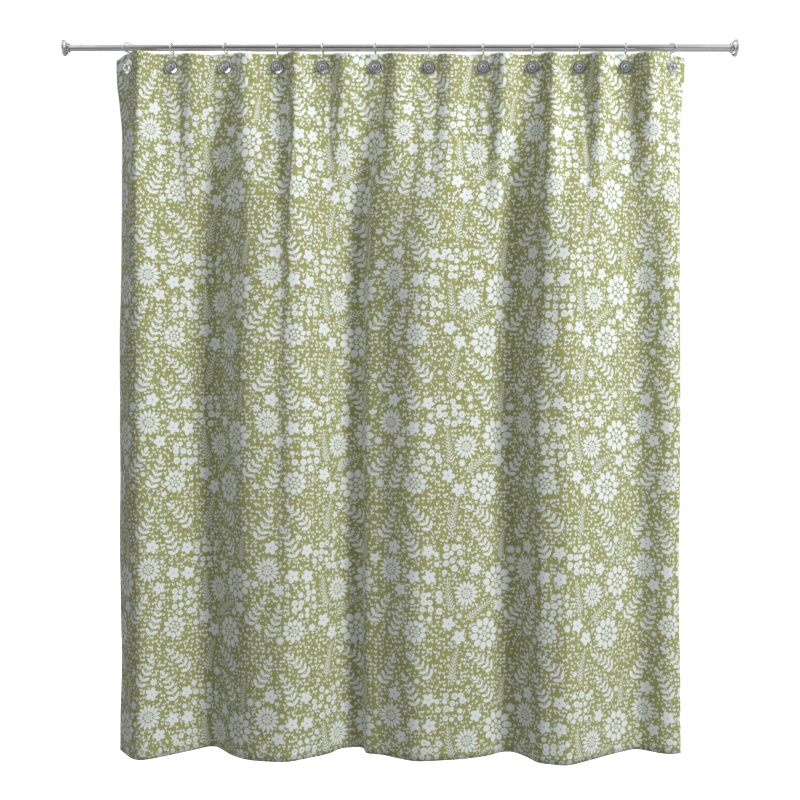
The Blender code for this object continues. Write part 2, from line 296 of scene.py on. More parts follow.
rod_chrome = metal("rod_chrome", (0.80, 0.81, 0.82), 0.06, 0.10, 0.05)

tube_low, tube_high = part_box("rod_tube")
ROD_R = radius_of("rod_tube")
TUBE_WALL = 0.0010
tube = drawn(
    "rod_tube_bright",
    [(tube_low.x, ROD_R - TUBE_WALL), (tube_low.x, ROD_R), (tube_high.x, ROD_R), (tube_high.x, ROD_R - TUBE_WALL)],
    sides=96,
    hollow=True,
)
soften(tube, 0.0002)
put(tube, rod_chrome, "rod", "rod_tube")


# ---- Wall flanges and their pads
# A pressed and plated cup at each end takes the thrust on the wall through a soft rubber pad let into its back. The left one is fixed on
# the tube, and the right one on the spindle's end.

right_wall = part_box("right_wall_pad")[1].x
FLANGE_R, FLANGE_DEPTH = radius_of("left_flange"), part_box("left_flange")[1].x
PAD_R, PAD_THICKNESS = radius_of("left_wall_pad"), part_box("left_wall_pad")[1].x
COLLAR_R, SPINDLE_R = radius_of("left_collar"), radius_of("tension_spindle")
GAP = 0.0003  # between pieces that fit
RIM = 0.0034  # how far the flange's rolled rim stands from the wall


HALF_TURN = Matrix.Rotation(math.pi, 4, "Z")


def mirrored(piece, name):
    """The same piece for the right wall, turned to face the left one."""
    turned = piece.copy()
    turned.data = piece.data.copy()
    turned.name = turned.data.name = name
    bpy.context.scene.collection.objects.link(turned)
    turned.data.transform(Matrix.Translation((right_wall, 0, 0)) @ HALF_TURN)
    return turned


def flange(name, bore):
    """The cup: a recess behind for the pad, a rolled rim, a domed face with a shallow step near the collar, and the bore."""
    recess = PAD_THICKNESS + GAP
    rings = [(recess, bore), (recess, PAD_R + GAP), (0.0005, PAD_R + GAP), (0.0005, FLANGE_R - 0.0009)]
    rings += [(0.0007, FLANGE_R - 0.0004), (0.0011, FLANGE_R - 0.0001), (0.0016, FLANGE_R)]
    rings += [(RIM, FLANGE_R), (RIM + 0.0007, FLANGE_R - 0.0004), (RIM + 0.0009, FLANGE_R - 0.0012)]
    inner, dome = COLLAR_R - 0.0018, FLANGE_DEPTH - RIM
    for k in range(9):
        a = math.pi / 2 * (0.16 + 0.84 * k / 8)
        rings.append((RIM + dome * math.sin(a), inner + (FLANGE_R - 0.0010 - inner) * math.cos(a)))
    return drawn(name, rings + [(FLANGE_DEPTH, bore)], sides=96, hollow=True)


left_flange = flange("left_flange_bright", ROD_R + GAP)
right_flange = mirrored(flange("right_cup", SPINDLE_R + GAP), "right_flange_bright")
bpy.data.objects.remove(bpy.data.objects["right_cup"])
for piece, body, node in ((left_flange, "rod", "left_flange"), (right_flange, "right_end", "right_flange")):
    soften(piece, 0.00015)
    put(piece, rod_chrome, body, node)

# the pad: soft pale rubber with a moulded grip of fine rings on the wall side
pad_rubber, tree, shader = new_look("pad_rubber")
place = add_node(tree, "TexCoord").outputs["Object"]
cloudy, grain = noise_of(tree, place, 90.0, 4.0, 0.6), noise_of(tree, place, 2200.0, 2.0, 0.5)
pale = mixed(tree, ranged(cloudy, 0.3, 0.7, 0.0, 1.0), (0.60, 0.60, 0.57), (0.70, 0.70, 0.67))
tree.links.new(pale, shader.inputs["Base Color"])
tree.links.new(times_plus(cloudy, 0.25, 0.6), shader.inputs["Roughness"])
tree.links.new(bumped(tree, grain, 0.5, 0.00005), shader.inputs["Normal"])

rings = [(PAD_THICKNESS, PAD_R), (0.0005, PAD_R), (0.0, PAD_R - 0.0007)]
for k in range(5):
    groove = PAD_R - 0.0030 - 0.0032 * k
    rings += [(0.0, groove + 0.0008), (0.0004, groove + 0.0004), (0.0004, groove - 0.0004), (0.0, groove - 0.0008)]
left_pad = drawn("left_pad_soft", rings)
right_pad = mirrored(left_pad, "right_pad_soft")
for piece, body, node in ((left_pad, "rod", "left_wall_pad"), (right_pad, "right_end", "right_wall_pad")):
    soften(piece, 0.0001)
    put(piece, pad_rubber, body, node)


# ---- Collar, tension nut, spindle and bush
# The left collar is a plain plated ring pressed on the tube. Its twin on the right is the nut: turned by hand on its fluted rim, it drives
# the threaded spindle out of the tube. The spindle runs in a moulded bush that sits inside the tube.

collar_low, collar_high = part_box("left_collar")


def collar_rings(start, stop, bore):
    """A rounded ring with a shallow groove round it."""
    middle = (start + stop) / 2
    rings = [(start, bore), (start, COLLAR_R - 0.0005), (start + 0.0005, COLLAR_R)]
    rings += [(middle - 0.0008, COLLAR_R), (middle - 0.0004, COLLAR_R - 0.0004)]
    rings += [(middle + 0.0004, COLLAR_R - 0.0004), (middle + 0.0008, COLLAR_R), (stop - 0.0016, COLLAR_R)]
    return rings + [(stop - 0.0006, COLLAR_R - 0.0004), (stop, COLLAR_R - 0.0013), (stop, bore)]


collar = drawn("left_collar_bright", collar_rings(collar_low.x, collar_high.x, ROD_R + GAP), hollow=True)
soften(collar, 0.0001)
put(collar, rod_chrome, "rod", "left_collar")

nut_low, nut_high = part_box("tension_nut")
nut_depth = nut_high.x - nut_low.x
step = nut_high.x - tube_high.x - GAP
rings = collar_rings(0.0, nut_depth, SPINDLE_R + GAP)[:-1]
rings += [(nut_depth, ROD_R + GAP), (step, ROD_R + GAP), (step, SPINDLE_R + GAP)]
NUT_SIDES = 96
nut = drawn("tension_nut_bright", rings, sides=NUT_SIDES, hollow=True)
# the grip: every fourth row of faces round the rim is pressed in
bpy.context.view_layer.objects.active = nut
bpy.ops.object.mode_set(mode="EDIT")
bpy.ops.mesh.select_all(action="DESELECT")
bpy.ops.object.mode_set(mode="OBJECT")
for face in nut.data.polygons:
    middle = face.center
    spoke = int(math.atan2(middle.z, middle.y) / (2 * math.pi) * NUT_SIDES + NUT_SIDES + 0.01)
    on_rim = math.hypot(middle.y, middle.z) > COLLAR_R - 0.0003 and abs(face.normal.x) < 0.3
    face.select = on_rim and spoke % 4 == 0
bpy.ops.object.mode_set(mode="EDIT")
bpy.ops.mesh.inset(thickness=0.0001, depth=-0.00025, use_individual=False)
bpy.ops.object.mode_set(mode="OBJECT")
nut.data.transform(Matrix.Translation((nut_high.x, 0, 0)) @ HALF_TURN)
soften(nut, 0.00008, segments=1)
put(nut, rod_chrome, "tension_nut", "tension_nut")

spindle_steel = metal("spindle_steel", (0.50, 0.50, 0.50), 0.28, 0.25, 0.12, 60.0)
spindle_low, spindle_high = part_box("tension_spindle")
PITCH, ROOT_R, CREST_R, SHANK_R = 0.0020, SPINDLE_R - 0.0010, SPINDLE_R - 0.00005, SPINDLE_R - 0.0002
rings = [(spindle_low.x, SPINDLE_R - 0.0012), (spindle_low.x + 0.0012, SHANK_R)]
along = spindle_low.x + 0.0016
while along + PITCH < spindle_high.x - 0.004:
    rings += [(along, ROOT_R), (along + PITCH * 0.42, CREST_R), (along + PITCH * 0.58, CREST_R)]
    along += PITCH
rings += [(along, ROOT_R), (along + 0.0004, SHANK_R), (spindle_high.x, SHANK_R)]
spindle = drawn("tension_spindle_steel", rings, sides=32)
soften(spindle, 0.00005, segments=1)
put(spindle, spindle_steel, "right_end", "tension_spindle")

bush_plastic, tree, shader = new_look("bush_plastic")
cloudy = noise_of(tree, add_node(tree, "TexCoord").outputs["Object"], 60.0, 3.0, 0.5)
tree.links.new(mixed(tree, cloudy, (0.72, 0.72, 0.69), (0.80, 0.80, 0.78)), shader.inputs["Base Color"])
tree.links.new(times_plus(cloudy, 0.2, 0.35), shader.inputs["Roughness"])
bush_low, bush_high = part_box("spindle_bush")
bush_r = radius_of("spindle_bush")
rings = [(bush_low.x, SPINDLE_R + GAP), (bush_low.x, bush_r - 0.0008), (bush_low.x + 0.002, bush_r)]
rings += [(bush_high.x - 0.0005, bush_r), (bush_high.x, bush_r - 0.0005), (bush_high.x, SPINDLE_R + GAP)]
bush = drawn("spindle_bush_moulded", rings, hollow=True)
soften(bush, 0.0001)
put(bush, bush_plastic, "rod", "spindle_bush")


# ---- Hooks
# Each is one length of round chrome wire, bent over the rod, under it and down behind the cloth, then forward through the eyelet to a
# button. The two end hooks are turned by the pull of the curtain's corners and rest a little higher on the rod.

WIRE_R = 0.0018
BORE_R = 0.0070
EYELET_DROP = 0.036
CLOTH_H = 0.0005  # half of the cloth's thickness
HOOK_TURN = (-45, -4, -8, 0, -3, -5, 0, -8, -10, -10, -4, 40)  # degrees, about the vertical
HOOKS = range(1, 13)

hook_x = []
for n in HOOKS:
    low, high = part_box(f"eyelet_front_{n:02d}")
    hook_x.append((low.x + high.x) / 2 + 0.00015 * math.sin(math.radians(HOOK_TURN[n - 1])))

RESTING = ROD_R + WIRE_R + GAP
ARCH_IN = RESTING / math.cos(math.radians(45)) + 0.0006
ARCH_Z = RESTING - ARCH_IN


def lift(turn):
    """How much higher a turned hook rests, because its arch meets a wider section of the rod."""
    wide = RESTING / math.cos(math.radians(turn))
    spare = wide**2 - RESTING**2
    if spare <= -ARCH_Z * RESTING:
        return 0.0
    return -ARCH_Z - math.sqrt((ARCH_IN**2 - wide**2) * spare) / wide


CROSS_Z = -(ROD_R + WIRE_R + 0.0005 + lift(45))
CLOTH_TOP = CROSS_Z - WIRE_R - 0.0017
EYELET_Z = CLOTH_TOP - EYELET_DROP
LIP_BACK = CLOTH_H + 0.0026
LOW_BEND = 0.0036
WIRE_BACK = LIP_BACK + GAP + LOW_BEND
WIRE_LOW = EYELET_Z + BORE_R * math.cos(math.pi / 16) - WIRE_R - 0.0002
BUTTON_Z = EYELET_Z - 0.0004
BUTTON_P = -(CLOTH_H + GAP + 0.0020 + 0.0044)


def bend(middle, radius, start, stop):
    """Points of a bend every four degrees, without the first."""
    steps = round(abs(stop - start) / 4)
    for k in range(1, steps + 1):
        a = math.radians(start + (stop - start) * k / steps)
        yield 0, middle[0] + radius * math.cos(a), middle[1] + radius * math.sin(a)


arch_r = ARCH_IN + 0.0002
front = -CROSS_Z + ARCH_Z
tail = ((0.0022, 0.0150), (0.0013, 0.0120), (0.0006, 0.0085), (0.0001, 0.0045), (0.0, 0.0))
line = [(0, arch_r + out, ARCH_Z - down) for out, down in tail]
line += bend((0, ARCH_Z), arch_r, 0, 180)
line += bend((front - arch_r, ARCH_Z), front, 180, 270)
HIGH_BEND = 0.0045
line += [(0, WIRE_BACK - HIGH_BEND, CROSS_Z)]
line += bend((WIRE_BACK - HIGH_BEND, CROSS_Z - HIGH_BEND), HIGH_BEND, 90, 0)
line += [(0, WIRE_BACK, WIRE_LOW + LOW_BEND)]
line += bend((WIRE_BACK - LOW_BEND, WIRE_LOW + LOW_BEND), LOW_BEND, 0, -90)
last_p, last_z = -CLOTH_H - 0.0019, WIRE_LOW
end_p, end_z = BUTTON_P + GAP + 0.9 * WIRE_R, BUTTON_Z
for k in range(1, 9):
    t = k / 8
    ease = t * t * (3 - 2 * t)
    line.append((0, last_p + (end_p - last_p) * t, last_z + (end_z - last_z) * ease))
line += [(0, BUTTON_P, BUTTON_Z)]

deselect()
bpy.ops.curve.primitive_nurbs_path_add(location=(0, 0, 0))
wire = bpy.context.object
wire.data.splines.clear()
path = wire.data.splines.new("POLY")
path.points.add(len(line) - 1)
for point, spot in zip(path.points, line):
    point.co = (*spot, 1)
path.use_smooth = True
wire.data.bevel_depth, wire.data.bevel_resolution, wire.data.use_fill_caps = WIRE_R, 5, True
bpy.ops.object.convert(target="MESH")
wire = bpy.context.object
wire.name = "hook_wire"
finish_with(wire, "WELD", merge_threshold=MERGED)
# the far tip is ground round
tip = Vector(line[0])
for vertex in wire.data.vertices:
    if (vertex.co - tip).length < WIRE_R * 1.05:
        vertex.co = tip + (vertex.co - tip) * 0.62
bpy.ops.object.shade_smooth_by_angle(angle=math.radians(50))

hook_chrome = metal("hook_chrome", (0.78, 0.79, 0.80), 0.09, 0.10, 0.06, 60.0)


def hung(piece, name, n, height=0.0, forward=0.0):
    """A copy of a hanger's piece, turned and placed at hook n."""
    copy = piece.copy()
    copy.data = piece.data.copy()
    copy.name = copy.data.name = f"{name}_{n:02d}"
    bpy.context.scene.collection.objects.link(copy)
    turn = HOOK_TURN[n - 1]
    spot = Matrix.Translation((hook_x[n - 1], 0, lift(turn))) @ Matrix.Rotation(math.radians(turn), 4, "Z")
    copy.data.transform(spot @ Matrix.Translation((0, forward, height)))
    return copy


for n in HOOKS:
    put(hung(wire, "wire_hook", n), hook_chrome, f"hanger_{n:02d}", f"hook_{n:02d}")
bpy.data.objects.remove(wire)


# ---- Buttons
# A chrome button closes each hook in front of its eyelet: a rolled rim, a deep dished ring inside it and a round hub, whose middle is
# sunk where the wire's end is riveted.

BUTTON_R, BUTTON_DEPTH = 0.0135, 0.0062


def drawn_facing(name, rings, **settings):
    """A round piece that faces the room, its rings given as (how far behind its own middle, radius)."""
    piece = drawn(name, [(-back, radius) for back, radius in rings], **settings)
    piece.data.transform(Matrix.Rotation(-math.pi / 2, 4, "Z"))
    return piece


HUB_R, HUB_RISE, PIN_R = 0.0074, 0.0022, 0.0019
rings = [(0.0, 0.0006)]
rolled_rim = ((0.0, 0.0010), (0.0004, 0.0003), (0.0011, 0.0), (0.0020, 0.0003), (0.0026, 0.0011))
dished_ring = ((0.0025, 0.0018), (0.0016, 0.0029), (0.0009, 0.0040), (0.0009, 0.0052))
rings += [(-rise, BUTTON_R - inward) for rise, inward in rolled_rim + dished_ring]
rings.append((-0.0014, HUB_R + 0.0003))
for k in range(0, 8):
    a = math.pi / 2 * k / 8
    rise = HUB_RISE + (BUTTON_DEPTH - HUB_RISE) * math.sin(a)
    rings.append((-rise, PIN_R + (HUB_R - PIN_R) * math.cos(a)))
sunk_pin = ((0.0, PIN_R), (0.0003, PIN_R - 0.0003), (0.0015, PIN_R - 0.0005), (0.0016, 0.0004))
rings += [(sunk - BUTTON_DEPTH, radius) for sunk, radius in sunk_pin]
button = drawn_facing("button", rings, sides=48)
soften(button, 0.0001, smooth=60)
for n in HOOKS:
    put(hung(button, "domed_button", n, BUTTON_Z, BUTTON_P), hook_chrome, f"hanger_{n:02d}", f"button_{n:02d}")
bpy.data.objects.remove(button)


# ---- Eyelets
# Two thin nickel-plated halves crimped through the cloth: a front ring with a rolled, dished rim and a barrel, and a flat washer behind
# that the barrel's lip is rolled over.

EYELET_R, EYELET_RISE = 0.0200, 0.0020
eyelet_steel = metal("eyelet_steel", (0.78, 0.78, 0.77), 0.16, 0.14, 0.08, 50.0)
face, rear = -(CLOTH_H + GAP), CLOTH_H + GAP
barrel = BORE_R + 0.0010
outer = ((0.0, 0.0002), (0.0004, 0.0), (0.0011, 0.0003), (0.0017, 0.0011), (EYELET_RISE, 0.0022))
outer += ((0.0018, 0.0034), (0.0011, 0.0046), (0.0007, 0.0060))
rings = [(face, barrel)] + [(face - rise, EYELET_R - inward) for rise, inward in outer]
rings += [(face - 0.0006, BORE_R + 0.0012), (face - 0.0003, BORE_R + 0.0003), (face + 0.0004, BORE_R)]
rings += [(LIP_BACK - 0.0006, BORE_R), (LIP_BACK, BORE_R + 0.0007), (LIP_BACK - 0.0001, barrel + 0.0010)]
rings += [(LIP_BACK - 0.0007, barrel + 0.0013), (LIP_BACK - 0.0009, barrel)]
front_half = drawn_facing("eyelet_front", rings, hollow=True)
top = LIP_BACK - 0.0014 - GAP
rings = [(rear, barrel + GAP), (rear, EYELET_R - 0.0002), (rear + 0.0002, EYELET_R)]
rings += [(top - 0.0001, EYELET_R - 0.0010), (top, EYELET_R - 0.0024), (top, EYELET_R - 0.0058)]
rings += [(top - 0.0002, EYELET_R - 0.0070), (top - 0.0002, barrel + GAP)]
washer = drawn_facing("eyelet_back", rings, hollow=True)
for half in (front_half, washer):
    soften(half, 0.00005, segments=1, smooth=60)
for n in HOOKS:
    put(hung(front_half, "eyelet_ring", n, EYELET_Z), eyelet_steel, f"hanger_{n:02d}", f"eyelet_front_{n:02d}")
    put(hung(washer, "eyelet_washer", n, EYELET_Z), eyelet_steel, f"hanger_{n:02d}", f"eyelet_back_{n:02d}")
bpy.data.objects.remove(front_half)
bpy.data.objects.remove(washer)


# ---- Cloth panel
# One length of printed canvas, hemmed on all four sides and hung from the eyelets along its top. It is gathered into soft vertical folds
# that start as shallow bulges between the eyelets and join into wider, deeper ones by the hem, and it is creased a little by its own pull.

MIDDLE = right_wall / 2
CLOTH_WIDTH, CLOTH_DROP = 1.803, 1.880
SIDE_MARGIN = 0.038  # from a side edge to the first eyelet
WINDOW = 0.0015 + EYELET_R  # the cloth is flat this far round each eyelet
HOLE_R, HOLE_CELL, EASED_R = 0.0088, 0.0092, 0.0125  # of the hole, of the faces taken out, and of the points drawn in round it
HOOK_X = [x - MIDDLE for x in hook_x]
HOOK_U = np.linspace(SIDE_MARGIN, CLOTH_WIDTH - SIDE_MARGIN, len(HOOK_X))

# the hem seen from above, (from the rod's middle, away from the room): valleys and ridges in turn, with a point on each steep flank
HEM = (
    (-0.760, 0.022), (-0.722, -0.030), (-0.686, -0.052), (-0.600, -0.005), (-0.506, 0.052), (-0.462, -0.006),
    (-0.400, -0.044), (-0.296, -0.058), (-0.200, -0.008), (-0.102, 0.046), (-0.040, -0.018), (0.040, -0.056),
    (0.170, -0.036), (0.309, 0.010), (0.362, -0.056), (0.430, -0.082), (0.530, -0.030), (0.646, 0.032),
    (0.700, -0.002), (0.735, -0.010), (0.754, 0.002),
)


def smooth(a, b, x):
    """0 up to a, 1 from b on, and a soft step between."""
    t = np.clip((x - a) / (b - a), 0, 1)
    return t * t * (3 - 2 * t)


def deepened(curve, wanted, length, deepest):
    """The curve moved by wanted times a depth, found by halving, that makes it that long."""
    low, high = 0.0, deepest
    for _ in range(40):
        deep = (low + high) / 2
        made = curve + wanted * deep
        if np.linalg.norm(np.diff(made, axis=0), axis=1).sum() < length:
            low = deep
        else:
            high = deep
    return made


def along_arc(curve, length, u):
    """Points on a curve at distances u along it, the whole stretched to that length."""
    s = np.concatenate([[0], np.cumsum(np.linalg.norm(np.diff(curve, axis=0), axis=1))])
    s *= length / s[-1]
    return np.interp(u, s, curve[:, 0]), np.interp(u, s, curve[:, 1])


def hem_curve(u):
    """The hem's folds, deepened until they take up the whole width of cloth."""
    px, py = np.array(HEM).T
    x = np.linspace(px[0], px[-1], 1500)
    y = np.interp(x, px, py)
    wide = 45
    kernel = np.hanning(2 * wide + 1)
    y = np.convolve(np.pad(y, wide, mode="reflect", reflect_type="odd"), kernel / kernel.sum(), "valid")
    level = np.zeros_like(x)
    return along_arc(deepened(np.stack([x, level], 1), np.stack([level, y], 1), CLOTH_WIDTH, 4.0), CLOTH_WIDTH, u)


def top_curve(u):
    """The row of eyelets: flat under each one, and a bulge towards the room between two, steeper on its left."""
    x, y = np.zeros_like(u), np.zeros_like(u)
    turn = np.radians(HOOK_TURN)
    for k, (x0, u0) in enumerate(zip(HOOK_X, HOOK_U)):
        first, last = k == 0, k == len(HOOK_X) - 1
        here = (u >= u0 - WINDOW if not first else u > -1) & (u <= u0 + WINDOW if not last else u < 9)
        x[here] = x0 + (u[here] - u0) * math.cos(turn[k])
        y[here] = (u[here] - u0) * math.sin(turn[k])
        if last:
            break
        start = np.array([x0 + WINDOW * math.cos(turn[k]), WINDOW * math.sin(turn[k])])
        stop = np.array([HOOK_X[k + 1] - WINDOW * math.cos(turn[k + 1]), -WINDOW * math.sin(turn[k + 1])])
        way = [np.array([math.cos(turn[j]), math.sin(turn[j])]) for j in (k, k + 1)]
        long = HOOK_U[1] - HOOK_U[0] - 2 * WINDOW
        t = np.linspace(0, 1, 200)[:, None]
        reach = np.linalg.norm(stop - start)
        base = (
            (2 * t**3 - 3 * t**2 + 1) * start + (t**3 - 2 * t**2 + t) * way[0] * reach
            + (3 * t**2 - 2 * t**3) * stop + (t**3 - t**2) * way[1] * reach
        )
        bulge = np.outer(np.sin(math.pi * t[:, 0] ** 0.75) ** 2, (0, -1))
        between = (u > u0 + WINDOW) & (u < HOOK_U[k + 1] - WINDOW)
        x[between], y[between] = along_arc(deepened(base, bulge, long, 0.12), long, u[between] - u0 - WINDOW)
    return x, y


def drape(u, v):
    """Points of the cloth's middle surface, u along its width laid flat and v down from its top edge."""
    xt, yt = top_curve(u)
    xb, yb = hem_curve(u)
    flat = EYELET_DROP + WINDOW
    w = smooth(flat, 0.95, v) ** 0.7
    wy = smooth(flat, 0.80, v) ** 0.62
    x = xt * (1 - w) + xb * w
    y = (1 + 0.45 * 4 * wy * (1 - wy)) * (yt * (1 - wy) + yb * wy)
    off = np.min(np.abs(u[:, None] - HOOK_U[None, :]), axis=1)
    sag = -0.006 * smooth(WINDOW, (HOOK_U[1] - HOOK_U[0]) / 2, off)
    corner = -0.010 * smooth(WINDOW, SIDE_MARGIN, HOOK_U[0] - u)
    corner -= 0.003 * smooth(WINDOW, SIDE_MARGIN, u - HOOK_U[-1])
    raised = sum(lift(HOOK_TURN[k]) * (1 - smooth(WINDOW, 0.11, np.abs(u - HOOK_U[k]))) for k in (0, -1))
    z = CLOTH_TOP - v + (sag + corner) * (1 - smooth(0.0, 0.45, v)) + raised * (1 - smooth(flat, 0.6, v))
    return np.stack([x + MIDDLE, y, z], axis=-1)


# shallow pleats that the large folds leave over: where across the cloth, how wide, how far forward, and from where to where down it
PLEATS = (
    (0.460, 0.035, 0.012, 0.30, 1.15),
    (0.555, 0.030, -0.014, 0.25, 1.10),
    (0.625, 0.030, 0.008, 0.25, 1.10),
    (0.752, 0.034, -0.015, 0.45, 1.90),
    (0.850, 0.032, 0.027, 0.45, 1.90),
    (1.240, 0.032, -0.010, 0.30, 1.90),
    (1.363, 0.032, 0.009, 0.30, 1.90),
)


def creases(u, v):
    """How far the cloth stands towards the room from its smooth folds: pulls from each eyelet, broad dents and a fine crumple."""
    away = np.full_like(u, 9.0)
    out = np.zeros_like(u)
    for k, u0 in enumerate(HOOK_U):
        du, dv = u - u0, v - EYELET_DROP
        far = np.hypot(du, dv)
        away = np.minimum(away, np.maximum(np.abs(du), np.abs(dv)))
        pull = np.cos(7 * np.arctan2(du, dv) + k) * np.exp(-far / 0.055) * smooth(WINDOW, 0.050, far)
        out += 0.0022 * pull
    for x0, wide, deep, top, low in PLEATS:
        out += deep * np.exp(-(((u - x0) / wide) ** 2)) * smooth(EYELET_DROP, top, v) * (1 - smooth(low, low + 0.5, v))
    dents = np.array([noise.noise(Vector((a / 0.21, b / 0.46, 3.1))) for a, b in zip(u, v)])
    ripples = np.array([noise.noise(Vector((a / 0.060, b / 0.16, 7.7))) for a, b in zip(u, v)])
    crumple = np.array([noise.noise(Vector((a / 0.026, b / 0.035, 1.3))) for a, b in zip(u, v)])
    out += 0.0060 * smooth(0.1, 0.6, v) * dents + 0.0018 * ripples + 0.00045 * crumple
    return out * smooth(WINDOW, WINDOW + 0.03, away)


def hung_points(u, v, forward):
    """The draped and creased cloth, forward of its middle surface by that much."""
    step = 0.0012
    spot = drape(u, v)
    across = drape(np.minimum(u + step, CLOTH_WIDTH), v) - drape(np.maximum(u - step, 0), v)
    down = drape(u, v + step) - drape(u, np.maximum(v - step, 0))
    normal = np.cross(down, across)
    normal /= np.linalg.norm(normal, axis=1)[:, None]
    normal *= np.where(normal[:, 1] > 0, -1, 1)[:, None]
    # the two upper corners, past the last eyelets, swing out flat
    for edge, way in ((SIDE_MARGIN - WINDOW - u, -1), (u - CLOTH_WIDTH + SIDE_MARGIN - WINDOW, 1)):
        loose = np.clip(edge / (SIDE_MARGIN - WINDOW), 0, 1) ** 1.5 * (1 - smooth(0.02, 0.22, v))
        spot += np.outer(loose, (way * 0.012, -0.004, 0))
    return spot + normal * (forward + creases(u, v))[:, None]


CHART = 2.0  # metres of flat cloth across the whole chart


def cut(name, columns, rows, u_range, v_range, forward, thickness, behind):
    """A piece of cloth as a grid laid flat, with a hole under each eyelet, hung by its points and given its thickness behind."""
    deselect()
    bpy.ops.mesh.primitive_grid_add(x_subdivisions=columns, y_subdivisions=rows, size=1, location=(0, 0, 0))
    cloth = bpy.context.object
    cloth.name = cloth.data.name = name
    for vertex in cloth.data.vertices:
        t = 0.5 - vertex.co.y
        if rows > 60:
            # the panel's rows lie closer near its top, where the folds are small
            t = 0.38 * t + 0.62 * t * t
        u = u_range[0] + (vertex.co.x + 0.5) * (u_range[1] - u_range[0])
        v = v_range[0] + t * (v_range[1] - v_range[0])
        vertex.co = (u, -v, 0)
    flat = np.array([face.center[:2] for face in cloth.data.polygons])
    bpy.ops.object.mode_set(mode="EDIT")
    bpy.ops.mesh.select_mode(type="FACE")
    bpy.ops.mesh.select_all(action="DESELECT")
    bpy.ops.object.mode_set(mode="OBJECT")
    holed = False
    for face, spot in zip(cloth.data.polygons, flat):
        if min(np.hypot(spot[0] - HOOK_U, spot[1] + EYELET_DROP)) < HOLE_CELL:
            face.select = holed = True
    if holed:
        bpy.ops.object.mode_set(mode="EDIT")
        bpy.ops.mesh.delete(type="FACE")
        bpy.ops.object.mode_set(mode="OBJECT")
    for vertex in cloth.data.vertices:
        eyelet = Vector((HOOK_U[int(np.argmin(np.abs(HOOK_U - vertex.co.x)))], -EYELET_DROP, 0))
        off = vertex.co - eyelet
        if MERGED < off.length < EASED_R:
            vertex.co = eyelet + off * (HOLE_R + 0.30 * off.length) / off.length
    u = np.array([vertex.co.x for vertex in cloth.data.vertices])
    v = -np.array([vertex.co.y for vertex in cloth.data.vertices])
    chart = cloth.data.uv_layers.active
    chart.name = "flat_cloth"
    for loop in cloth.data.loops:
        chart.data[loop.index].uv = (u[loop.vertex_index] / CHART, 1 - v[loop.vertex_index] / CHART)
    spots = hung_points(u, v, forward)
    cloth.data.vertices.foreach_set("co", spots.astype(np.float32).ravel())
    cloth.data.update()
    cloth.data.materials.append(printed_cloth)
    cloth.data.materials.append(behind)
    finish_with(cloth, "SOLIDIFY", thickness=thickness, offset=-1.0, material_offset=1, use_quality_normals=True)
    cloth.data.shade_smooth()
    return cloth


# The print. Distances are in metres on the flat cloth, and a shape is where its distance is below zero.
REPEAT = 0.39


def turned_by(place, angle):
    made = add_node(place.id_data, "VectorRotate", place, (0, 0, 0), (0, 0, 1), rotation_type="Z_AXIS")
    place.id_data.links.new(angle, made.inputs["Angle"])
    return made.outputs[0]


def sized_by(place, size):
    made = add_node(place.id_data, "VectorMath", place, operation="SCALE")
    place.id_data.links.new(over(1.0, size), made.inputs["Scale"])
    return made.outputs[0]


def seat_group():
    """One motif's place in the repeat: coordinates turned and sized with it, and how far outside its outline a point is, which is a
    circle, or a capsule that runs along Y."""
    wanted = [("Cloth", "Vector", (0, 0, 0)), ("Centre", "Vector", (0, 0, 0)), ("Turn", "Float", 0.0)]
    wanted += [("Size", "Float", 1.0), ("Half", "Float", 0.0), ("Wide", "Float", 1.0)]
    tree, given, out = group_of("motif_seat", wanted, [("Local", "Vector"), ("Outside", "Float")])
    half = REPEAT / 2
    near = vector("WRAP", vector("SUBTRACT", given["Cloth"], given["Centre"]), (half, half, 1), (-half, -half, -1))
    local = sized_by(turned_by(near, given["Turn"]), given["Size"])
    tree.links.new(local, out["Local"])
    middle = add_node(tree, "CombineXYZ", 0.0, given["Half"], 0.0).outputs[0]
    beyond = vector("SUBTRACT", vector("ABSOLUTE", vector("SUBTRACT", local, middle)), middle)
    far = vector("LENGTH", vector("MAXIMUM", beyond, (0, 0, 0)))
    tree.links.new(times(minus(far, given["Wide"]), given["Size"]), out["Outside"])
    return tree


def oval(x, y, radius):
    """Distance to an oval, in metres, from coordinates in which it is a circle of radius 1."""
    place = add_node(x.id_data, "CombineXYZ", x, y, 0.0).outputs[0]
    return times(minus(vector("LENGTH", place), 1.0), radius)


def flower_group():
    """A flower of radius 1: oval petals folded round the middle, a round heart and an open eye. Span limits it to a fan of petals."""
    plain = dict(Petals=8.0, Reach=0.6, Long=0.35, Wide=0.2, Heart=0.2, Eye=0.0, Span=40.0)
    wanted = [("Local", "Vector", (0, 0, 0))] + [(label, "Float", value) for label, value in plain.items()]
    tree, given, out = group_of("flower_shape", wanted, [("Distance", "Float")])
    r = vector("LENGTH", given["Local"])
    xyz = add_node(tree, "SeparateXYZ", given["Local"]).outputs
    theta = number("ARCTAN2", xyz[1], xyz[0])
    step = over(2 * math.pi, given["Petals"])
    k = number("ROUND", over(theta, step))
    k = least(most(k, times(given["Span"], -1.0)), given["Span"])
    a = minus(theta, times(k, step))
    px, py = times(r, number("COSINE", a)), times(r, number("SINE", a))
    petal_x = over(minus(px, given["Reach"]), given["Long"])
    petal = oval(petal_x, over(py, given["Wide"]), given["Wide"])
    whole = least(petal, minus(r, given["Heart"]))
    tree.links.new(most(whole, minus(given["Eye"], r)), out["Distance"])
    return tree


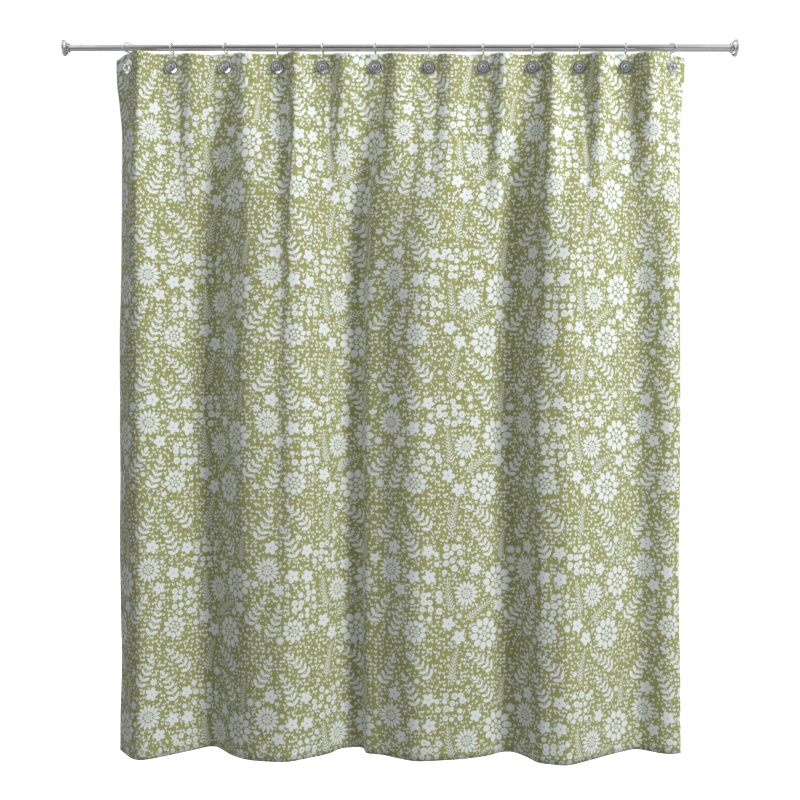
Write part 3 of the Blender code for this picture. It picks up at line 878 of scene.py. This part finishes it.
def sprig_group(name, long, pitch, lean, leaf_long, leaf_wide, stem, bow):
    """A stem along Y with pairs of leaning oval leaves that shorten towards its tip, and one leaf at the tip."""
    tree, given, out = group_of(name, [("Local", "Vector", (0, 0, 0))], [("Distance", "Float")])
    xyz = add_node(tree, "SeparateXYZ", given["Local"]).outputs
    y = xyz[1]
    curve = times(times(y, minus(long, y)), bow)
    x = minus(xyz[0], curve)
    side = positive(x)
    start = minus(y, times(side, 1 / math.tan(lean)))
    k = number("FLOOR", over(start, pitch))
    k = least(most(k, 0.0), round(long / pitch) - 1.0)
    up = minus(y, times_plus(k, pitch, pitch / 2))
    taper = times_plus(k, -0.45 * pitch / long, 1.0)
    along = plus(times(side, math.sin(lean)), times(up, math.cos(lean)))
    across = minus(times(side, math.cos(lean)), times(up, math.sin(lean)))
    reach = times(taper, leaf_long)
    a = over(minus(along, times(reach, 1.12)), reach)
    leaf = oval(a, over(across, times(taper, leaf_wide)), leaf_wide)
    tip_y = over(minus(y, long + leaf_long * 0.6), leaf_long * 0.8)
    tip = oval(over(x, leaf_wide), tip_y, leaf_wide)
    past_ends = most(minus(-long * 0.12, y), minus(y, long))
    stalk = most(minus(side, stem), past_ends)
    tree.links.new(least(least(leaf, tip), stalk), out["Distance"])
    return tree


motif_seat, flower_shape = seat_group(), flower_group()
LEAFY, FERNY = 0.086, 0.080
HALF = {"leafy": LEAFY / 2 + 0.004, "ferny": FERNY / 2 + 0.002}  # half the length of a sprig's outline, and its half width
WIDE = {"leafy": 0.0205, "ferny": 0.0112}
leafy_sprig = sprig_group("leafy_sprig", LEAFY, 0.0170, math.radians(50), 0.0110, 0.0048, 0.0010, 2.2)
ferny_sprig = sprig_group("ferny_sprig", FERNY, 0.0086, math.radians(42), 0.0084, 0.0016, 0.0009, -1.8)

# the designer's layout: the large motifs first, each put where the repeat still has room for its outline of circles
rng = np.random.default_rng(11)
taken = []


def outline(kind, x, y, turn, size):
    """The circles a motif covers: one for a flower or a cluster, seven along a sprig."""
    long, wide = 2 * HALF.get(kind, 0.0) * size, WIDE.get(kind, 1.0) * size
    shares = [k / 6 for k in range(7 if long else 1)]
    return [(x - math.sin(turn) * long * share, y + math.cos(turn) * long * share, wide) for share in shares]


def room(circles):
    """Whether those circles keep clear of every one taken, in the repeat and across its edges."""
    for x, y, r in circles:
        for a, b, s in taken:
            off = [(gap + REPEAT / 2) % REPEAT - REPEAT / 2 for gap in (x - a, y - b)]
            if math.hypot(*off) < r + s + 0.0005:
                return False
    return True


layout = []
plan = [("bloom", 0.043, 2), ("berries", 0.046, 2), ("dahlia", 0.034, 2), ("meadow", 0.040, 2), ("leafy", 1.0, 7)]
plan += [("ferny", 1.0, 4), ("bloom", 0.031, 1), ("star", 0.0195, 5), ("berries", 0.030, 1), ("leafy", 0.85, 3)]
plan += [("ferny", 0.85, 2), ("star", 0.0180, 5)]
for kind, size, count in plan:
    for _ in range(count):
        for _ in range(900):
            x, y = rng.uniform(0, REPEAT, 2)
            turn = rng.uniform(-1.0, 1.0) if kind in ("leafy", "ferny") else rng.uniform(0, 6.28)
            circles = outline(kind, x, y, turn, size)
            if room(circles):
                taken += circles
                layout.append((kind, x, y, turn, size))
                break

print_tree, given, out = group_of("botanical_print", [("Cloth", "Vector", (0, 0, 0))], [("Ink", "Float")])
# hand-cut edges: the coordinates wander by a fraction of a millimetre
WANDER = 0.0042
wander = noise_of(print_tree, given["Cloth"], 95.0, 2.0, 0.6, output=1, noise_dimensions="2D")
wander = vector("MULTIPLY", vector("SUBTRACT", wander, (0.5, 0.5, 0.5)), (WANDER, WANDER, 0))
cloth_at = vector("ADD", given["Cloth"], wander)


def cells(size, randomness, **settings):
    """Cells of about that size scattered over the cloth."""
    made = add_node(print_tree, "TexVoronoi", cloth_at, None, 1 / size, voronoi_dimensions="2D", **settings)
    made.inputs["Randomness"].default_value = randomness
    return made.outputs


def chances(found):
    """Three chances drawn for each cell."""
    return add_node(print_tree, "SeparateColor", found["Color"]).outputs


# small flowers: one in each cell of a loose scatter, each with its own petals and turn, and as large as the room beside the motifs lets it
SCATTER, SMALLEST, LARGEST = 0.0290, 0.0072, 0.0150
scatter, scatter_edge = cells(SCATTER, 0.6), cells(SCATTER, 0.6, feature="DISTANCE_TO_EDGE")
chance, centre = chances(scatter), scatter["Position"]
BERRY = 0.0205
berry = cells(BERRY, 0.52)

# how far a small flower's middle is from every motif, how far a berry's is from a cluster, and where a point is in its motif
clear, inside, local_in = None, None, {}
for kind, x, y, turn, size in layout:
    seat = dict(Centre=(x, y, 0), Turn=-turn, Size=size, Half=HALF.get(kind, 0.0), Wide=WIDE.get(kind, 1.0))
    outside = use_group(print_tree, motif_seat, Cloth=centre, **seat)["Outside"]
    clear = outside if clear is None else least(clear, outside)
    if kind == "berries":
        outside = use_group(print_tree, motif_seat, Cloth=berry["Position"], **seat)["Outside"]
        inside = outside if inside is None else least(inside, outside)
    elif kind != "meadow":
        # a point lies in one motif at most, so each kind is drawn once, in the coordinates of whichever of its motifs the point is in
        spot = use_group(print_tree, motif_seat, Cloth=cloth_at, **seat)
        pick = add_node(print_tree, "Mix", data_type="VECTOR")
        print_tree.links.new(below(spot["Outside"], 0.0), pick.inputs[0])
        if kind in local_in:
            print_tree.links.new(local_in[kind], pick.inputs[4])
        else:
            pick.inputs[4].default_value = (9, 9, 0)
        print_tree.links.new(spot["Local"], pick.inputs[5])
        local_in[kind] = pick.outputs[1]


def flower(kind, scale, **shape):
    """The flower shape drawn in every motif of that kind, as a distance in metres."""
    return times(use_group(print_tree, flower_shape, Local=local_in[kind], **shape)["Distance"], scale)


leafy = use_group(print_tree, leafy_sprig, Local=local_in["leafy"])["Distance"]
ferny = use_group(print_tree, ferny_sprig, Local=local_in["ferny"])["Distance"]
nearest = least(leafy, ferny)
for shape in (
    flower("bloom", 0.040, Petals=10.0, Reach=0.735, Long=0.255, Wide=0.205, Heart=0.0),
    flower("bloom", 0.040, Petals=6.0, Reach=0.315, Long=0.140, Wide=0.135, Heart=0.125, Eye=0.04),
    flower("dahlia", 0.032, Petals=15.0, Reach=0.70, Long=0.29, Wide=0.120, Heart=0.0),
    flower("dahlia", 0.032, Petals=9.0, Reach=0.27, Long=0.12, Wide=0.075, Heart=0.13, Eye=0.05),
    flower("star", 0.018, Petals=5.0, Reach=0.58, Long=0.39, Wide=0.345, Heart=0.26, Eye=0.10),
):
    nearest = least(nearest, shape)

# berries: round cells of a close scatter, kept where their middles fall in a cluster, most with a fine ring left open
berry_off = times(berry["Distance"], BERRY)
berry_size = chances(berry)[0]
disc = minus(berry_off, times_plus(berry_size, 0.0030, 0.0064))
ringed = below(0.35, berry_size)
ring = minus(0.00045, positive(minus(berry_off, 0.0022)))
disc = most(disc, plus(ring, minus(ringed, 1.0)))
disc = plus(disc, number("GREATER_THAN", inside, -0.004))
nearest = least(nearest, disc)

# a small flower has five, eight or eleven petals and any turn, and a bud is a fan of three that hangs
petals = times_plus(number("FLOOR", times(chance[0], 2.99)), 3.0, 5.0)
bud = number("GREATER_THAN", chance[1], 0.72)
bloom = minus(1.0, bud)
bud_angle = times(bud, times_plus(chance[2], 1.2, -2.2))
angle = plus(times(bloom, times(chance[2], 6.28)), bud_angle)
wanted = times_plus(chance[1], 0.0035, LARGEST - 0.0025)
radius = most(least(minus(clear, 0.0004), wanted), SMALLEST)
small = use_group(
    print_tree,
    flower_shape,
    Local=sized_by(turned_by(vector("SUBTRACT", cloth_at, centre), angle), radius),
    Petals=times_plus(bud, 4.0, petals),
    Reach=0.56,
    Long=0.41,
    Wide=over(1.55, times_plus(bud, 2.0, petals)),
    Heart=0.20,
    Eye=times(below(petals, 9.0), 0.085),
    Span=times_plus(bloom, 40.0, 1.0),
)["Distance"]
small = plus(times(small, radius), below(clear, SMALLEST))
small = most(small, minus(0.0006, times(scatter_edge["Distance"], SCATTER)))
nearest = least(nearest, small)

# ticks and seeds: a fine scatter of little hearts and dots in what ground is left, shrinking to nothing near a motif
SEED, SEED_R, lean = 0.0112, 0.00165, 0.42
seed = cells(SEED, 0.72)
luck = chances(seed)
turned = turned_by(vector("SUBTRACT", cloth_at, seed["Position"]), times_plus(luck[0], 1.1, -0.55))
xyz = add_node(print_tree, "SeparateXYZ", turned).outputs
tick = below(luck[1], 0.72)
x = minus(positive(xyz[0]), times(tick, 0.00170))
across = minus(times(x, math.cos(lean)), times(xyz[1], math.sin(lean)))
along = plus(times(x, math.sin(lean)), times(xyz[1], math.cos(lean)))
long = times_plus(tick, 0.0014, 0.0029)
seeds = oval(over(across, SEED_R), over(along, long), SEED_R)
crowd = most(minus(0.0030, nearest), 0.0)
nearest = least(nearest, times_plus(crowd, 0.9, seeds))
SOFT_EDGE = 0.00018
print_tree.links.new(ranged(nearest, -SOFT_EDGE, SOFT_EDGE, 1.0, 0.0), out["Ink"])


STITCH, STITCH_SHARE, THREAD_R, WEAVE = 0.0032, 0.78, 0.00035, 0.0007
TOP_SEAM, BOTTOM_SEAM, SIDE_SEAM = 0.066, 0.024, 0.012


def printed(name, ground, ground_dark, ink, fade):
    """Printed canvas: the ink and the mottled ground, a square weave, and a row of stitches along each hem."""
    made, tree, shader = new_look(name)
    chart = add_node(tree, "UVMap", uv_map="flat_cloth").outputs[0]
    flat = vector("MULTIPLY", chart, (CHART, CHART, 0))
    mask = use_group(tree, print_tree, Cloth=flat)["Ink"]
    mottle = noise_of(tree, flat, 38.0, 5.0, 0.65, noise_dimensions="2D")
    slub = noise_of(tree, vector("MULTIPLY", flat, (1.0, 9.0, 0)), 260.0, 3.0, 0.6, noise_dimensions="2D")
    tone = times_plus(slub, 0.5, times(mottle, 0.5))
    base = mixed(tree, ranged(tone, 0.33, 0.67, 0.0, 1.0), ground_dark, ground)
    inked = mixed(tree, times(mask, ranged(slub, 0.25, 0.5, fade - 0.10, fade)), base, ink)
    # stitches along each hem's inner edge
    xyz = add_node(tree, "SeparateXYZ", flat).outputs
    u, v = xyz[0], minus(CHART, xyz[1])
    half = CLOTH_WIDTH / 2

    def off(value, place):
        return positive(minus(value, place))

    def dashed(distance, along):
        dash = below(number("FRACT", over(along, STITCH)), STITCH_SHARE)
        return times(below(distance, THREAD_R), dash)

    side = off(off(u, half), half - SIDE_SEAM)
    level = least(off(v, TOP_SEAM), off(v, CLOTH_DROP - BOTTOM_SEAM))
    thread = most(dashed(level, u), dashed(side, v))
    tree.links.new(mixed(tree, thread, inked, (0.42, 0.44, 0.27)), shader.inputs["Base Color"])
    tree.links.new(ranged(tone, 0.3, 0.7, 0.82, 0.94), shader.inputs["Roughness"])
    # the weave: threads over and under each other, drawn in along the seams
    warp, weft = (number("SINE", times(place, math.pi / WEAVE)) for place in (u, v))
    seam = ranged(least(level, side), 0.0, 0.0028, 1.0, 0.0)
    height = times(seam, -0.0004)
    for value, rise in ((thread, 0.00025), (slub, 0.00010), (times(warp, weft), 0.00003)):
        height = times_plus(value, rise, height)
    tree.links.new(bumped(tree, height, 0.8, 1.0), shader.inputs["Normal"])
    for label, value in (("Specular IOR Level", 0.25), ("Sheen Weight", 0.12), ("Sheen Roughness", 0.6)):
        shader.inputs[label].default_value = value
    return made


printed_cloth = printed("printed_cloth", (0.335, 0.345, 0.130), (0.235, 0.240, 0.080), (0.640, 0.685, 0.690), 1.0)
cloth_back = printed("cloth_back", (0.56, 0.57, 0.45), (0.50, 0.51, 0.39), (0.66, 0.69, 0.68), 0.8)

panel = cut("printed_panel", 300, 160, (0.0, CLOTH_WIDTH), (0.0, CLOTH_DROP), CLOTH_H, 0.0006, cloth_back)
# the hems, folded to the back: name, columns, rows, from where to where across the cloth, and from where to where down it
TRIM, LEVEL, UPRIGHT = 0.0006, (0.001, CLOTH_WIDTH - 0.001), (0.070, CLOTH_DROP - 0.028)
hems = [
    cut(*hem, -0.00015, 0.0004, printed_cloth)
    for hem in (
        ("top_hem", 240, 10, LEVEL, (TRIM, 0.068)),
        ("bottom_hem", 240, 4, LEVEL, (CLOTH_DROP - 0.026, CLOTH_DROP - TRIM)),
        ("left_hem", 3, 60, (TRIM, 0.0135), UPRIGHT),
        ("right_hem", 3, 60, (CLOTH_WIDTH - 0.0135, CLOTH_WIDTH - TRIM), UPRIGHT),
    )
]
for cloth in [panel] + hems:
    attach(cloth, "hanger_01")
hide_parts("curtain_panel")
for cloth in [panel] + hems:
    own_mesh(cloth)


# ---- Studio
# A wide pale floor in a white room, a large soft key light high on the right of the room side, weak fills, a soft light behind for the
# back of the cloth, and the camera level with the middle of the curtain.

deselect()
bpy.ops.mesh.primitive_plane_add(size=1, location=(0, 0, 0))
floor = bpy.context.object
floor.name = "studio_floor"
bpy.ops.object.mode_set(mode="EDIT")
bpy.ops.transform.resize(value=(60, 60, 1))
bpy.ops.transform.translate(value=(MIDDLE, 0, cad_box[0].z - 0.10))
bpy.ops.object.mode_set(mode="OBJECT")
paper, tree, shader = new_look("studio_paper")
shader.inputs["Roughness"].default_value = 0.9
shader.inputs["Emission Color"].default_value = (1, 1, 1, 1)
# the floor looks white to its far edge, but gives the cloth none of that light
rays = add_node(tree, "LightPath").outputs
tree.links.new(times(rays["Is Camera Ray"], 0.92), shader.inputs["Emission Strength"])
tree.links.new(ranged(rays["Is Camera Ray"], 0.0, 1.0, 0.36, 0.90), shader.inputs["Base Color"])
floor.data.materials.append(paper)


def soft_light(name, place, aim, size, power):
    deselect()
    bpy.ops.object.light_add(type="AREA", location=place)
    light = bpy.context.object
    light.name = name
    light.data.shape = "RECTANGLE"
    light.data.size, light.data.size_y = size
    light.data.energy = power
    light.rotation_euler = (Vector(aim) - Vector(place)).to_track_quat("-Z", "Y").to_euler()


soft_light("key_light", (MIDDLE + 3.4, -2.7, 1.4), (MIDDLE - 0.2, 0, -1.0), (1.6, 1.7), 245)
soft_light("fill_light", (MIDDLE - 0.6, -3.8, 0.4), (MIDDLE, 0, -0.9), (2.0, 2.0), 7)
soft_light("back_light", (MIDDLE - 1.8, 3.2, 0.9), (MIDDLE, 0, -0.9), (2.0, 2.0), 90)
soft_light("upper_fill", (MIDDLE - 1.0, -1.6, 0.35), (MIDDLE - 0.2, 0, -0.25), (1.2, 0.8), 7)
for name in ("key_light", "fill_light", "upper_fill"):
    bpy.data.objects[name].visible_glossy = False

# a dim room with a pale ceiling, and pale side walls that only the chrome shows
world = bpy.data.worlds.new("studio_air")
world.use_nodes = True
tree = world.node_tree
backing = tree.nodes["Background"]
way = add_node(tree, "SeparateXYZ", add_node(tree, "TexCoord").outputs["Generated"]).outputs
ceiling = ranged(way[2], 0.35, 0.62, 0.05, 0.60)
walls = ranged(positive(way[0]), 0.44, 0.66, 0.0, 0.85)
rays = add_node(tree, "LightPath").outputs
seen = most(times(walls, rays["Is Glossy Ray"]), rays["Is Camera Ray"])
tree.links.new(plus(ceiling, seen), backing.inputs["Strength"])
backing.inputs["Color"].default_value = (1, 1, 1, 1)
bpy.context.scene.world = world
bpy.context.scene.view_settings.view_transform = "Standard"

bpy.ops.object.camera_add(location=(MIDDLE, -2.75, -0.947), rotation=(math.pi / 2, 0, 0))
camera = bpy.context.object
camera.data.lens = 46
bpy.context.scene.camera = camera
